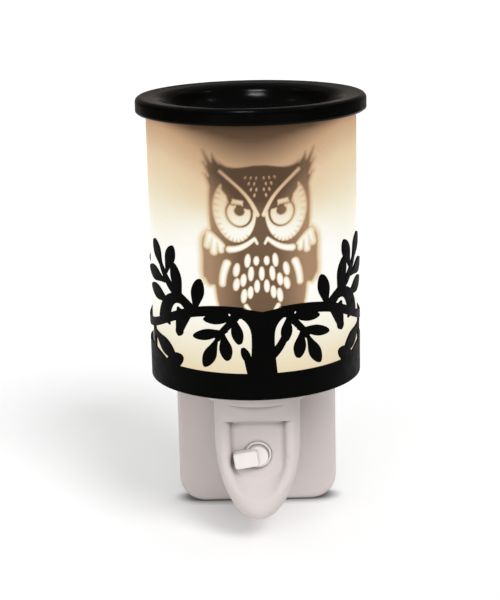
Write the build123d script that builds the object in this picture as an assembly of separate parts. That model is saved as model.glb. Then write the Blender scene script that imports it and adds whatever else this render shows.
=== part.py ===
from build123d import *
import math
import os

# Plug-in wax melt warmer. Millimetres, +Z up, wall at y = 0, front towards -Y.
# The origin lies between the two plug blades, on the face that meets the wall.

# Wide plate against the wall: a shallow tray closed by a flat cover
plate_width = 69.0
plate_height = 71.0
plate_depth = 11.0
plate_corner = 11.5
plate_edge_round = 1.8
plastic_wall = 2.2
cover_thickness = 2.4
cover_gap = 0.2
wire_opening = 24.0

# Plug blades and the block that keeps them
blade_spacing = 12.7
blade_thickness = 1.5
blade_reach = 16.5
blade_tail = 9.5
line_blade_width = 6.35
neutral_blade_width = 7.9
blade_hole = 3.2
blade_hole_from_tip = 4.6
blade_ear = 2.3
blade_ear_depth = 1.5
keeper_width = 26.0
keeper_height = 19.0
keeper_depth = 5.5
slot_gap = 0.15

# Screws: shank radius, head radius and head height of each kind
cover_screw_inset = 7.3
cover_screw_length = 8.0
housing_screw_length = 9.5
keeper_screw_spread = 11.0
keeper_screw_length = 6.8
switch_screw_length = 5.0
screw_shank = 1.1
screw_head = 2.3
screw_head_height = 1.5
small_shank = 0.8
small_head = 1.5
small_head_height = 1.0
screw_gap = 0.08
boss_radius = 3.2
boss_bite = 0.8

# Housing: a tongue with an elliptic tip, a scooped pocket and a round collar on top
shade_reach = 47.0
tongue_width = 34.8
tongue_front = 18.0
tongue_round = 7.0
tip_drop = 24.2
tip_height = 37.0
collar_radius = 22.0
collar_height = 10.9
collar_top = 2.6
collar_round = 1.2
boss_length = 11.0
pocket_width = 23.5
pocket_depth = 5.0
pocket_slope = 1.4
pocket_round = 1.6
pocket_rim_round = 2.4
pocket_top = 20.4
pocket_flat_end = -6.5
pocket_bend = 2.0
pocket_lip = -13.5

# Rotary switch and its lever
switch_height = 4.6
switch_size = 14.0
switch_depth = 15.0
switch_neck = 5.5
switch_neck_gap = 0.15
switch_dish_radius = 4.6
switch_dish_depth = 1.6
switch_ear = 2.0
switch_ear_room = 1.2
knob_hub = 4.2
knob_hub_drop = 2.4
knob_shaft = 2.4
knob_gap = 0.3
knob_shaft_length = 6.0
lever_length = 9.8
lever_width = 6.8
lever_height = 3.8
lever_lift = 1.2
lever_round = 1.2
lever_droop = 8.5

# Candelabra socket
socket_radius = 9.0
socket_rise = 21.6
socket_skirt = 8.4
socket_skirt_wall = 1.3
socket_floor_rise = 4.1
socket_floor = 3.0
socket_flange = 14.5
socket_flange_height = 2.5
socket_gap = 0.25
shell_radius = 6.6
shell_wall = 0.45
shell_gap = 0.12
shell_tab_width = 3.0
contact_radius = 2.6
contact_height = 3.0
contact_stem = 1.2
contact_tail = 2.5
ring_radius = 14.0
ring_height = 5.0
ring_notch = 1.0
ring_notches = 16
lead_radius = 1.0

# Bulb
bulb_tip_height = 1.4
bulb_tip_radius = 2.2
bulb_insulator_height = 2.6
bulb_cap_radius = 5.9
bulb_cap_wall = 0.35
bulb_cap_height = 12.5
bulb_radius = 11.0
bulb_height = 41.0
bulb_wall = 0.6
bulb_seat_gap = 0.3
stem_radius = 2.2
stem_height = 17.0
filament_lead_radius = 0.3
filament_spread = 9.0
filament_rise = 6.5
filament_radius = 0.22

# Shade: floor, cut-out sleeve, frosted tube and dish
shade_bottom = 37.7
sheet = 0.7
sleeve_clear = 0.5
sleeve_gap = 0.15
floor_thickness = 1.0
vent_radius = 3.0
vent_circle = 30.0
vent_count = 8
tab_width = 9.0
tab_depth = 4.0
tube_radius = 41.3
tube_wall = 2.5
shade_height = 112.3
motif_turn = 3.8
pin_hole = 0.55

# Dish that caps the tube
dish_skirt_wall = 3.3
dish_skirt_gap = 0.7
dish_band = 6.4
dish_top_wall = 3.6
dish_bowl_gap = 2.2
dish_inward_fall = 1.0
dish_wall = 2.6
dish_bowl_depth = 13.0
dish_bowl_floor = 18.0
dish_edge_round = 2.0
dish_foot_round = 1.0
dish_lip_round = 5.5

band_height = 10.5

# Owl stencil: a bent sheet just behind the front of the tube
owl_height = 67.0
owl_rise = 22.6
owl_sheet = 0.6
owl_bend = 22.0
owl_gap = 0.7
owl_stem_width = 8.0
owl_foot_width = 13.0
owl_foot_depth = 9.0
rivet_radius = 1.0
rivet_head = 1.9
rivet_head_height = 0.7
rivet_gap = 0.05
rivet_spread = 8.0

# Levels and places that follow from the sizes above
shade_axis = (0, -shade_reach, 0)
floor_under = shade_bottom + sheet
floor_top = floor_under + floor_thickness
collar_under = floor_under - collar_height
front_face = -shade_reach - tongue_front
pocket_floor = front_face + pocket_depth
cavity_front = pocket_floor + plastic_wall
tray_floor = -plate_depth + plastic_wall
dish_top = shade_bottom + shade_height
tube_top = dish_top - dish_top_wall
tube_inner = tube_radius - tube_wall
sleeve_radius = tube_radius + sleeve_clear + sheet
dish_radius = tube_radius + dish_skirt_gap + dish_skirt_wall
tip_centre = tip_height - tip_drop
socket_top = floor_top + socket_rise
socket_floor_top = floor_top + socket_floor_rise
switch_ear_spread = tongue_width - 2 * (plastic_wall + small_head + switch_ear_room)
contact_top = socket_floor_top + contact_height
bulb_foot = contact_top + bulb_seat_gap
cap_foot = bulb_foot + bulb_tip_height + bulb_insulator_height
cap_top = cap_foot + bulb_cap_height
filament_height = cap_top + stem_height + filament_rise

# The tree is drawn for a sleeve of radius 42.5 and the owl 67 tall; both grow with their real sizes
motif_unit = sleeve_radius / 42.5
owl_unit = owl_height / 67


def at_axis(z):
    """Place on the shade's axis at height z."""
    return Pos(0, -shade_reach, z)


def ring(outer, inner, low, high):
    """Upright tube about the shade's axis."""
    span = high - low
    return at_axis(low + span / 2) * (Cylinder(outer, span) - Cylinder(inner, span))


def disc(radius, low, high):
    """Upright solid cylinder about the shade's axis."""
    return at_axis((low + high) / 2) * Cylinder(radius, high - low)


def rod_y(radius, x, z, back, front):
    """Cylinder along Y between two depths."""
    return Pos(x, (back + front) / 2, z) * Rot(90, 0, 0) * Cylinder(radius, abs(back - front))


def slab(width, height, corner, back, front):
    """Rounded rectangle in the XZ plane, thick from back to front."""
    outline = Plane.XZ * RectangleRounded(width, height, corner)
    return Pos(0, back, 0) * extrude(outline, back - front)


def turned(*profile):
    """Solid of revolution about the shade's axis from closed (radius, height) edges."""
    face = make_face(Plane.XZ * Curve(profile))
    return Pos(0, -shade_reach, 0) * revolve(face, Axis.Z)


def cover_screw_places():
    x = plate_width / 2 - cover_screw_inset
    z = plate_height / 2 - cover_screw_inset
    return [(sx * x, sz * z) for sx in (-1, 1) for sz in (-1, 1)]


def housing_screw_places():
    side = tongue_width / 2 - plastic_wall - boss_radius + boss_bite
    high = collar_under - plastic_wall - boss_radius + boss_bite
    low = -tip_drop + plastic_wall + boss_radius - boss_bite
    return [(-side, high), (side, high), (0, low)]


def keeper_screw_places():
    return [(0, -keeper_screw_spread / 2), (0, keeper_screw_spread / 2)]


def switch_screw_places():
    return [(side * switch_ear_spread / 2, switch_height) for side in (-1, 1)]


def screw(place, seat, length, shank, head, head_height, inward):
    """Pan-head screw seated at depth seat; inward is the sign of Y that the shank runs in."""
    x, z = place
    body = rod_y(shank, x, z, seat, seat + inward * length)
    return body + rod_y(head, x, z, seat - inward * head_height, seat)


def make_rear_cover():
    width = plate_width - 2 * (plastic_wall + cover_gap)
    height = plate_height - 2 * (plastic_wall + cover_gap)
    corner = plate_corner - plastic_wall - cover_gap
    cover = slab(width, height, corner, 0, -cover_thickness)
    for side, blade_width in ((-1, line_blade_width), (1, neutral_blade_width)):
        cover -= Pos(side * blade_spacing / 2, 0, 0) * Box(
            blade_thickness + 2 * slot_gap, 3 * cover_thickness, blade_width + 2 * slot_gap
        )
    for x, z in cover_screw_places():
        cover -= rod_y(screw_shank + screw_gap, x, z, 0, -cover_thickness)
        cover -= rod_y(screw_head + 2 * screw_gap, x, z, 0, -screw_head_height)
    for x, z in keeper_screw_places():
        cover -= rod_y(small_shank + screw_gap, x, z, -cover_thickness, -cover_thickness / 3)
    return cover


def make_back_plate():
    tray = slab(plate_width, plate_height, plate_corner, 0, -plate_depth)
    tray = fillet(tray.faces().sort_by(Axis.Y)[0].edges(), plate_edge_round)
    tray -= slab(
        plate_width - 2 * plastic_wall,
        plate_height - 2 * plastic_wall,
        plate_corner - plastic_wall,
        0,
        tray_floor,
    )
    for x, z in cover_screw_places():
        tray += rod_y(boss_radius, x, z, -cover_thickness, tray_floor)
    for x, z in cover_screw_places():
        tray -= rod_y(screw_shank + screw_gap, x, z, -cover_thickness, tray_floor)
    opening = slab(wire_opening, wire_opening, plastic_wall, 0, -2 * plate_depth)
    tray -= opening
    for x, z in housing_screw_places():
        tray -= rod_y(screw_shank + screw_gap, x, z, tray_floor, -plate_depth)
    return tray


def make_blade(side, width):
    """Flat blade with a round-cornered tip, a hole and two ears behind the cover."""
    length = blade_reach + blade_tail
    strip = Box(blade_thickness, length, width)
    tip_edges = strip.edges().filter_by(Axis.X).group_by(Axis.Y)[-1]
    strip = chamfer(tip_edges, width / 4)
    strip = Pos(0, blade_reach - length / 2, 0) * strip
    ears = Box(blade_thickness, blade_ear_depth, width + 2 * blade_ear)
    strip += Pos(0, -cover_thickness - blade_ear_depth / 2, 0) * ears
    hole = Rot(0, 90, 0) * Cylinder(blade_hole / 2, 2 * blade_thickness)
    strip -= Pos(0, blade_reach - blade_hole_from_tip, 0) * hole
    return Pos(side * blade_spacing / 2, 0, 0) * strip


def make_blade_keeper():
    back = -cover_thickness
    keeper = slab(keeper_width, keeper_height, plastic_wall, back, back - keeper_depth)
    for side, width in ((-1, line_blade_width), (1, neutral_blade_width)):
        thick = blade_thickness + 2 * slot_gap
        slot = Box(thick, 4 * keeper_depth, width + 2 * slot_gap)
        ears = Box(thick, 2 * (blade_ear_depth + slot_gap), width + 2 * (blade_ear + slot_gap))
        keeper -= Pos(side * blade_spacing / 2, back, 0) * slot
        keeper -= Pos(side * blade_spacing / 2, back, 0) * ears
    for x, z in keeper_screw_places():
        keeper -= rod_y(small_shank + screw_gap, x, z, back, back - keeper_depth)
    return keeper


def tongue_outline(half, low, bend, top):
    """Straight sides down to bend, then a half ellipse that reaches down to low."""
    tip = EllipticalCenterArc((0, bend), half, bend - low, 180, arc_size=180)
    sides = Polyline((half, bend), (half, top), (-half, top), (-half, bend))
    return Plane.XZ * make_face(Curve([tip, sides]))


def tongue_solid(shrink, back, front, top):
    """The tongue between two depths, drawn in by shrink all round and cut off level at the top."""
    outline = tongue_outline(tongue_width / 2 - shrink, -tip_drop + shrink, tip_centre, top)
    return Pos(0, back, 0) * extrude(outline, back - front)


def pocket_section(depth):
    """Outline of the finger scoop at a depth behind the front face; its sides slope in and its end runs up."""
    share = depth / pocket_depth
    slope = share * pocket_slope
    low = pocket_lip + share * (pocket_flat_end - pocket_lip)
    outline = tongue_outline(pocket_width / 2 - slope, low, pocket_bend, pocket_top - slope)
    return Pos(0, front_face + depth, 0) * outline


def pocket_solid():
    """Finger scoop lofted from beyond the front face to its floor, the floor's edge rounded."""
    scoop = loft([pocket_section(-plastic_wall), pocket_section(pocket_depth)])
    return fillet(scoop.faces().sort_by(Axis.Y)[-1].edges(), pocket_round)


def pocket_rim(body):
    """Edges of the scoop's mouth at its sides and foot; the top edge stays sharp."""
    rim = []
    for edge in body.edges():
        middle = edge.center()
        in_front = middle.Y < front_face + pocket_depth / 7
        beside = abs(middle.X) < pocket_width / 2 + pocket_round
        below = pocket_lip - pocket_rim_round < middle.Z < pocket_top - pocket_round
        if in_front and beside and below:
            rim.append(edge)
    return rim


def make_front_housing():
    collar_middle = collar_under + collar_height / 2
    body = tongue_solid(0, -plate_depth, front_face, collar_middle)
    front_edges = body.faces().sort_by(Axis.Y)[0].edges().filter_by(Axis.X, reverse=True)
    body = fillet(front_edges, tongue_round)
    collar = disc(collar_radius, collar_under, floor_under)
    collar = fillet(collar.edges().filter_by(GeomType.CIRCLE), collar_round)
    body += collar
    body -= tongue_solid(plastic_wall, -plate_depth, cavity_front, collar_under - plastic_wall)
    body -= disc(tongue_width / 2 - plastic_wall, collar_under - 2 * plastic_wall, floor_under - collar_top)
    body -= disc(socket_radius + socket_gap, collar_under, floor_under)
    for x, z in housing_screw_places():
        boss = rod_y(boss_radius, x, z, -plate_depth, -plate_depth - boss_length)
        body += boss & tongue_solid(0, -plate_depth, front_face, collar_under)
    for x, z in housing_screw_places():
        body -= rod_y(screw_shank + screw_gap, x, z, -plate_depth, -plate_depth - boss_length)
    body -= pocket_solid()
    body = fillet(pocket_rim(body), pocket_rim_round)
    body -= rod_y(switch_neck + switch_neck_gap, 0, switch_height, cavity_front, front_face)
    for x, z in switch_screw_places():
        body -= rod_y(small_shank + screw_gap, x, z, cavity_front, cavity_front - switch_screw_length)
    return body


def make_switch_body():
    neck_face = pocket_floor - plastic_wall / 6
    block = Box(switch_size, switch_depth, switch_size)
    block = fillet(block.edges().filter_by(Axis.Y), plastic_wall / 2)
    switch = Pos(0, cavity_front + switch_depth / 2, switch_height) * block
    ear_width = switch_ear_spread + 2 * small_head
    ears = Box(ear_width, switch_ear, 2 * small_head + switch_ear)
    switch += Pos(0, cavity_front + switch_ear / 2, switch_height) * ears
    switch += rod_y(switch_neck, 0, switch_height, cavity_front, neck_face)
    switch -= rod_y(switch_dish_radius, 0, switch_height, neck_face, neck_face + switch_dish_depth)
    hub_end = neck_face + switch_dish_depth + knob_shaft_length + knob_gap
    switch -= rod_y(knob_shaft + knob_gap, 0, switch_height, neck_face, hub_end)
    for x, z in switch_screw_places():
        switch -= rod_y(small_shank + screw_gap, x, z, cavity_front, cavity_front + switch_ear)
    return switch


def make_switch_knob():
    neck_face = pocket_floor - plastic_wall / 6
    hub_back = neck_face + switch_dish_depth - knob_gap
    lever_back = pocket_floor - lever_lift
    lever_front = lever_back - lever_height
    knob = rod_y(knob_shaft, 0, 0, hub_back, hub_back + knob_shaft_length)
    knob += rod_y(knob_hub, 0, 0, hub_back, lever_front + knob_hub_drop)
    paddle = slab(lever_length, lever_width, lever_round, lever_back, lever_front)
    paddle = fillet(paddle.faces().sort_by(Axis.Y)[0].edges(), lever_round / 2)
    knob += Pos(-lever_length / 2, 0, 0) * paddle
    return Pos(0, 0, switch_height) * Rot(0, -lever_droop, 0) * knob


def make_socket_sleeve():
    skirt = floor_under - collar_top - socket_flange_height - socket_skirt
    sleeve = disc(socket_radius, skirt, socket_top)
    flange_top = floor_under - collar_top
    sleeve += disc(socket_flange, flange_top - socket_flange_height, flange_top)
    sleeve -= disc(shell_radius + shell_gap, socket_floor_top, socket_top)
    sleeve -= disc(socket_radius - socket_skirt_wall, skirt, socket_floor_top - socket_floor)
    sleeve -= disc(contact_stem + shell_gap, skirt, socket_floor_top)
    sleeve -= shell_tab(shell_gap)
    return sleeve


def shell_tab(clear):
    """Strip of the threaded shell that runs down through the socket floor, behind the axis."""
    top = socket_floor_top + shell_wall
    low = socket_floor_top - socket_floor - contact_tail
    depth = shell_radius - shell_wall
    tab = Box(shell_tab_width + 2 * clear, shell_wall + 2 * clear, top - low)
    return Pos(0, -shade_reach + depth - clear, (top + low) / 2) * tab


def make_socket_shell():
    shell = ring(shell_radius, shell_radius - shell_wall, socket_floor_top, socket_top - shell_gap)
    return shell + shell_tab(0)


def make_socket_contact():
    head = disc(contact_radius, socket_floor_top, contact_top)
    head = fillet(head.edges().filter_by(GeomType.CIRCLE).sort_by(Axis.Z)[-1], contact_radius / 3)
    return head + disc(contact_stem, socket_floor_top - socket_floor - contact_tail, socket_floor_top)


def make_socket_ring():
    nut = ring(ring_radius, socket_radius + socket_gap, floor_top, floor_top + ring_height)
    notch = Cylinder(ring_notch, 3 * ring_height)
    spots = PolarLocations(ring_radius, ring_notches)
    return nut - [at_axis(floor_top) * spot * notch for spot in spots]


def wire(points, radius):
    """Wire along straight runs, each corner an arc as large as its two runs allow."""
    corners = [Vector(*p) for p in points]
    bends = []
    for before, here, after in zip(corners, corners[1:], corners[2:]):
        half_turn = math.radians((here - before).get_angle(after - here)) / 2
        shorter = min((here - before).length, (after - here).length)
        bends.append(0.45 * shorter / math.tan(half_turn))
    path = FilletPolyline(*corners, radius=bends)
    section = Plane(origin=path @ 0, z_dir=path % 0) * Circle(radius)
    return sweep(section, path=path)


def make_lead_line():
    """From the line blade's tail forward to the switch's left terminal."""
    x = -blade_spacing / 2
    switch_back = cavity_front + switch_depth
    low = (0 + switch_height) / 2
    route = [
        (x, -blade_tail, 0),
        (x, -blade_tail - 6 * lead_radius, 0),
        (x + 1.5 * lead_radius, -blade_tail - 12 * lead_radius, low),
        (-switch_size / 4, switch_back + 6 * lead_radius, switch_height),
        (-switch_size / 4, switch_back, switch_height),
    ]
    return wire(route, lead_radius)


def make_lead_switched():
    """From the terminal on top of the switch up to the socket's centre contact."""
    switch_top = switch_height + switch_size / 2
    contact_low = socket_floor_top - socket_floor - contact_tail
    side, ahead = -switch_size / 4, -shade_reach - 3 * lead_radius
    route = [
        (side, ahead, switch_top),
        (side, ahead, switch_top + 7 * lead_radius),
        (0, -shade_reach, contact_low - 9 * lead_radius),
        (0, -shade_reach, contact_low),
    ]
    return wire(route, lead_radius)


def make_lead_neutral():
    """From the neutral blade's tail forward and up to the shell's tab."""
    x = blade_spacing / 2
    tab_y = -shade_reach + shell_radius - shell_wall
    tab_low = socket_floor_top - socket_floor - contact_tail
    route = [
        (x, -blade_tail, 0),
        (x, -blade_tail - 8 * lead_radius, 0),
        (x - 1.4 * lead_radius, tab_y + 10 * lead_radius, 9 * lead_radius),
        (x - 4.4 * lead_radius, tab_y + 2.5 * lead_radius, 16 * lead_radius),
        (0, tab_y, 22 * lead_radius),
        (0, tab_y, tab_low),
    ]
    return wire(route, lead_radius)


def make_bulb_tip():
    tip = disc(bulb_tip_radius, bulb_foot, bulb_foot + bulb_tip_height)
    return fillet(tip.edges().filter_by(GeomType.CIRCLE).sort_by(Axis.Z)[0], bulb_tip_height / 2)


def make_bulb_insulator():
    low = bulb_foot + bulb_tip_height
    cone = Cone(bulb_tip_radius + bulb_cap_wall, bulb_cap_radius - bulb_cap_wall, bulb_insulator_height)
    return at_axis(low + bulb_insulator_height / 2) * cone


def make_bulb_cap():
    return ring(bulb_cap_radius, bulb_cap_radius - bulb_cap_wall, cap_foot, cap_top)


def bulb_outline(inset):
    """Candle-lamp outline from the neck up, drawn in by inset: slim neck, belly below the middle, rounded top."""
    neck = bulb_cap_radius - inset
    belly = bulb_radius - inset
    wide = cap_top + 0.4 * bulb_height
    top = cap_top + bulb_height - inset
    flank = Spline((neck, cap_top), (belly, wide), tangents=((0.3, 1), (0, 1)))
    crown = Spline((belly, wide), (0, top), tangents=((0, 1), (-1, 0)))
    return flank, crown


def make_bulb_glass():
    flank, crown = bulb_outline(0)
    inner_flank, inner_crown = bulb_outline(bulb_wall)
    top = Line(crown @ 1, inner_crown @ 1)
    foot = Line(inner_flank @ 0, flank @ 0)
    return turned(flank, crown, top, inner_crown, inner_flank, foot)


def make_bulb_stem():
    """Glass mount: a plug in the cap that narrows to the pinch that holds the wires."""
    plug = disc(bulb_cap_radius - bulb_cap_wall - bulb_wall, cap_foot, cap_foot + bulb_insulator_height)
    return plug + disc(stem_radius, cap_foot, cap_top + stem_height)


def filament_lead(side):
    """Support wire: upright out of the pinch, then outwards, then upright to the filament."""
    low = cap_top + stem_height
    near, far = side * stem_radius / 2, side * filament_spread / 2
    quarter = (filament_height - low) / 4
    route = [
        (near, -shade_reach, low),
        (near, -shade_reach, low + quarter),
        (far, -shade_reach, filament_height - quarter),
        (far, -shade_reach, filament_height),
    ]
    return wire(route, filament_lead_radius)


def make_filament_leads():
    return Compound(children=[filament_lead(-1), filament_lead(1)])


def make_filament():
    """Half hoop of wire standing on the two support wires."""
    half = filament_spread / 2
    path = ThreePointArc(
        (-half, -shade_reach, filament_height),
        (0, -shade_reach, filament_height + half),
        (half, -shade_reach, filament_height),
    )
    return sweep(Plane(origin=path @ 0, z_dir=path % 0) * Circle(filament_radius), path=path)


def make_shade_floor():
    floor = ring(sleeve_radius - sheet - sleeve_gap, socket_radius + socket_gap, floor_under, floor_top)
    vent = Cylinder(vent_radius, 4 * floor_thickness)
    spots = PolarLocations(vent_circle, vent_count, 180 / vent_count)
    floor -= [at_axis(floor_top) * spot * vent for spot in spots]
    for x, y in rivet_places():
        floor -= Pos(x, y, floor_top) * Cylinder(rivet_radius + rivet_gap, 4 * floor_thickness)
    return floor


def make_frosted_tube():
    return ring(tube_radius, tube_inner, floor_top, tube_top)


def on_tangent(s, z):
    """Point s along the sheet from the trunk, seen on the plane that touches the sheet at 45 degrees."""
    return (sleeve_radius * math.sin(s / sleeve_radius - math.pi / 4), shade_bottom + z)


def on_sheet(s, z):
    """A drawn point of the tree, grown to the sleeve's real size."""
    return on_tangent(motif_unit * s, motif_unit * z)


def leaf(base, tip, width):
    """Spatulate leaf: narrow foot, widest past the middle, rounded tip."""
    along = (tip[0] - base[0], tip[1] - base[1])
    length = math.hypot(*along)
    across = (-along[1] / length * width / 2, along[0] / length * width / 2)

    def edge_point(share, side):
        s = base[0] + share * along[0] + side * across[0]
        z = base[1] + share * along[1] + side * across[1]
        return on_sheet(s, z)

    outline = [(0, 0.2), (0.28, 0.58), (0.66, 1), (1, 0), (0.66, -1), (0.28, -0.58), (0, -0.2)]
    edge = Spline(*[edge_point(share, side) for share, side in outline])
    return make_face([edge, Line(edge @ 1, edge @ 0)])


def as_drawn(x, z):
    """A drawn point left where it is."""
    return (x, z)


def ribbon(points, first_width, last_width, put):
    """Strip along a smooth line, its width running evenly from first to last; put places each edge point."""
    upper, lower = [], []
    last = len(points) - 1
    for i, (s, z) in enumerate(points):
        before, after = points[max(i - 1, 0)], points[min(i + 1, last)]
        run = (after[0] - before[0], after[1] - before[1])
        half = (first_width + (last_width - first_width) * i / last) / 2 / math.hypot(*run)
        upper.append(put(s - run[1] * half, z + run[0] * half))
        lower.append(put(s + run[1] * half, z - run[0] * half))
    edge = Spline if last > 1 else Line
    top = edge(*upper)
    bottom = edge(*lower)
    return make_face([top, Line(top @ 1, bottom @ 1), bottom, Line(bottom @ 0, top @ 0)])


def twig(points, first_width, last_width):
    """Tapering strip of the tree."""
    return ribbon(points, first_width, last_width, on_sheet)


def quarter_motif(thorn):
    """A quarter of the wrap, from the middle of a trunk to the middle of the next gap."""
    end = sleeve_radius * math.pi / 2 / motif_unit
    low = on_sheet(-2, 0)[0]
    high = on_sheet(end + 2, 0)[0]
    band = Pos((low + high) / 2, shade_bottom + band_height / 2) * Rectangle(high - low, band_height)

    trunk_foot = shade_bottom + band_height / 2
    trunk_side = Spline(*[on_sheet(*p) for p in ((5.4, 9), (4.8, 16), (4.4, 23.5), (5.2, 29), (8.4, 32.6))])
    trunk_top = Polyline(
        trunk_side @ 1, on_sheet(9.6, 36.6), on_sheet(0, 34.8), (low, on_sheet(0, 33.9)[1]),
        (low, trunk_foot), (on_sheet(5.4, 0)[0], trunk_foot), trunk_side @ 0,
    )
    motif = band + make_face([trunk_side, trunk_top])

    # Main branch sinking towards the gap, and the stub under it
    motif += twig([(8, 34.5), (15.5, 35), (24, 34.4), (33, 32.3), (42, 29), (53, 25), (end + 2, 23)], 4.3, 3.2)
    motif += twig([(32.8, 33.2), (34.6, 28.6), (35.7, 25)], 7.5, 3.4)
    motif += leaf((34.9, 28.5), (36, 22.9), 3.9)

    # On one side of the trunk a thorn, on the other a stem that meets the hanging spray
    if thorn:
        motif += twig([(4, 9.4), (5.5, 14.2), (6.4, 17)], 4, 2.4)
        motif += leaf((5.2, 13.2), (8.2, 21), 2.8)
        motif += leaf((11.6, 33), (9.2, 22.2), 4)
    else:
        motif += twig([(3.6, 17.6), (6.4, 20.6), (9, 25.4)], 3, 2.2)
        motif += leaf((10.4, 33), (8.8, 22.6), 3.9)

    # Leaf standing on the branch
    motif += leaf((27.6, 33.8), (25, 47), 5.4)

    # Hanging spray under the branch
    motif += twig([(10.4, 33.2), (12.7, 30.4), (15.6, 27.3), (18.3, 23.8)], 2.8, 2.3)
    motif += leaf((9.4, 32.8), (23.6, 31.4), 4.2)
    motif += leaf((14, 27.2), (28.5, 24.1), 4.2)
    motif += leaf((15.9, 26.5), (14, 15.6), 4.6)
    motif += leaf((18.2, 24), (23.7, 12.4), 5)

    # Rising spray: a bowed stem with leaves on both sides, and a small arch at its foot
    motif += twig([(28.8, 33.8), (35.4, 38.9), (40.3, 42.3), (43.8, 46), (46.4, 49.6)], 4, 2)
    motif += leaf((45.6, 48.4), (52, 58.8), 5.4)
    motif += leaf((42.6, 47), (38.2, 58.2), 5.6)
    motif += leaf((34.2, 37.4), (38.4, 51.6), 5.4)
    motif += leaf((43.4, 43.2), (58.8, 46.4), 5.4)
    motif += leaf((41.4, 35.4), (56.4, 39.6), 5.4)
    motif += twig([(34.4, 37.4), (39.4, 37.1), (43.2, 33.4), (45, 27.4)], 3, 8)

    # Leafy mound on the band, joined to the branch by an upright stem
    motif += leaf((47, 8.4), (34.2, 14.6), 6.2)
    motif += leaf((54, 21.2), (38.8, 14), 6.2)
    motif += twig([(55.5, 26), (54.8, 18), (56, 9)], 2.2, 3.2)
    rise = Spline(*[on_sheet(*p) for p in ((40, 9), (50, 13.6), (59, 15), (end + 2, 15.4))])
    motif += make_face([rise, Polyline(rise @ 1, (high, trunk_foot), on_sheet(40, 5), rise @ 0)])
    return motif - Pos(*on_sheet(13, 33.8)) * Circle(pin_hole)


def make_tree_sleeve():
    """Black sheet wrapped round the tube: two unlike quarters make a tree, and the back repeats the front."""
    side = math.sqrt(0.5)
    plane = Plane(origin=shade_axis, x_dir=(side, side, 0), z_dir=(side, -side, 0))
    reach = 2 * sleeve_radius
    corner = Pos(reach / 2, -shade_reach - reach / 2, dish_top / 2) * Box(reach, reach, 2 * dish_top)
    wrap = ring(sleeve_radius, sleeve_radius - sheet, shade_bottom, dish_top) & corner

    # Tab bent in under the floor
    tab_ring = ring(sleeve_radius - sheet / 2, sleeve_radius - tab_depth, shade_bottom, floor_under)
    tab_bar = Box(reach, tab_width, 2 * dish_top)
    tab = tab_ring & (at_axis(0) * Rot(0, 0, -45) * tab_bar) & corner

    right, left = [(extrude(plane * quarter_motif(thorn), reach) & wrap) + tab for thorn in (False, True)]
    front = right + mirror(left, Plane.YZ)
    turned_about = Pos(0, -2 * shade_reach, 0) * Rot(0, 0, 180) * front
    return at_axis(0) * Rot(0, 0, motif_turn) * Pos(0, shade_reach, 0) * (front + turned_about)


def owl_front():
    """Depth of the stencil's outer face on the shade's middle line, before the shade is turned."""
    return -shade_reach - tube_inner + owl_gap


def slot(points, first_width, last_width):
    """Round-ended opening along a smooth line, its width running evenly from first to last."""
    ends = ((points[0], first_width), (points[-1], last_width))
    opening = ribbon(points, first_width, last_width, as_drawn)
    return opening + [Pos(*end) * Circle(width / 2) for end, width in ends]


def feather(x, z, length):
    """Drop of light on the breast, leaning out with its distance from the middle."""
    return Pos(x, z) * Rot(0, 0, x) * Ellipse(0.85, length / 2)


def owl_face_openings():
    """Right half of the face: brow, speckled forehead, eye under a heavy lid, fringed face disc and chin."""
    cuts = slot([(1.15, 47.5), (2.1, 49.8), (4.4, 53.9), (8.2, 58), (12.8, 61.7)], 1.3, 0.8)
    for row in range(4):
        for k in range(3 - (row + 1) // 2):
            x = 1.3 + 1.85 * k + 0.7 * (row % 2)
            cuts += Pos(x, 61.1 - 2.1 * row) * Rot(0, 0, 5 * x) * Ellipse(0.28, 0.6)

    eye = Pos(7.2, 47.8)
    iris = eye * Ellipse(3.65, 4.35) - Pos(7.2, 48.6) * Circle(1.9)
    lid_line = Polyline((0, 46), (3.2, 49.1), (11.3, 50.6), (11.3, 60), (0, 60), close=True)
    cuts += iris - make_face(lid_line)
    cuts += Pos(7.7, 51.7) * Rot(0, 0, 4) * Rectangle(3.3, 1.7)

    middle, wide, tall = (8.2, 48.8), 6.6, 11.4
    face_disc = Pos(*middle) * Ellipse(wide, tall) - eye * Ellipse(4.7, 5.4)
    brow_side = Polyline((0, 46), (3.2, 49.1), (10.7, 50.5), (11.3, 53.5), (12.8, 55.4), (12.8, 70), (0, 70), close=True)
    face_disc -= make_face(brow_side)
    beak = Pos(0, 44) * Rectangle(3.4, 20)
    face_disc -= beak
    barb = make_face(Polyline((0.5, -0.5), (0.5, 0.5), (-1.1, 0), close=True))
    barbs = 15
    for k in range(barbs):
        angle = math.radians(-125 + 165 * k / (barbs - 1))
        edge = (middle[0] + wide * math.cos(angle), middle[1] + tall * math.sin(angle))
        outward = math.degrees(math.atan2(math.sin(angle) / tall, math.cos(angle) / wide))
        face_disc -= Pos(*edge) * Rot(0, 0, outward) * barb
    cuts += face_disc
    cuts += slot([(2.3, 38.6), (1.35, 36.8)], 0.9, 0.6)
    return cuts + slot([(2.3, 38.6), (3.6, 37.4), (6, 35.7), (10.5, 34.3)], 0.9, 1.8)


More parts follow.
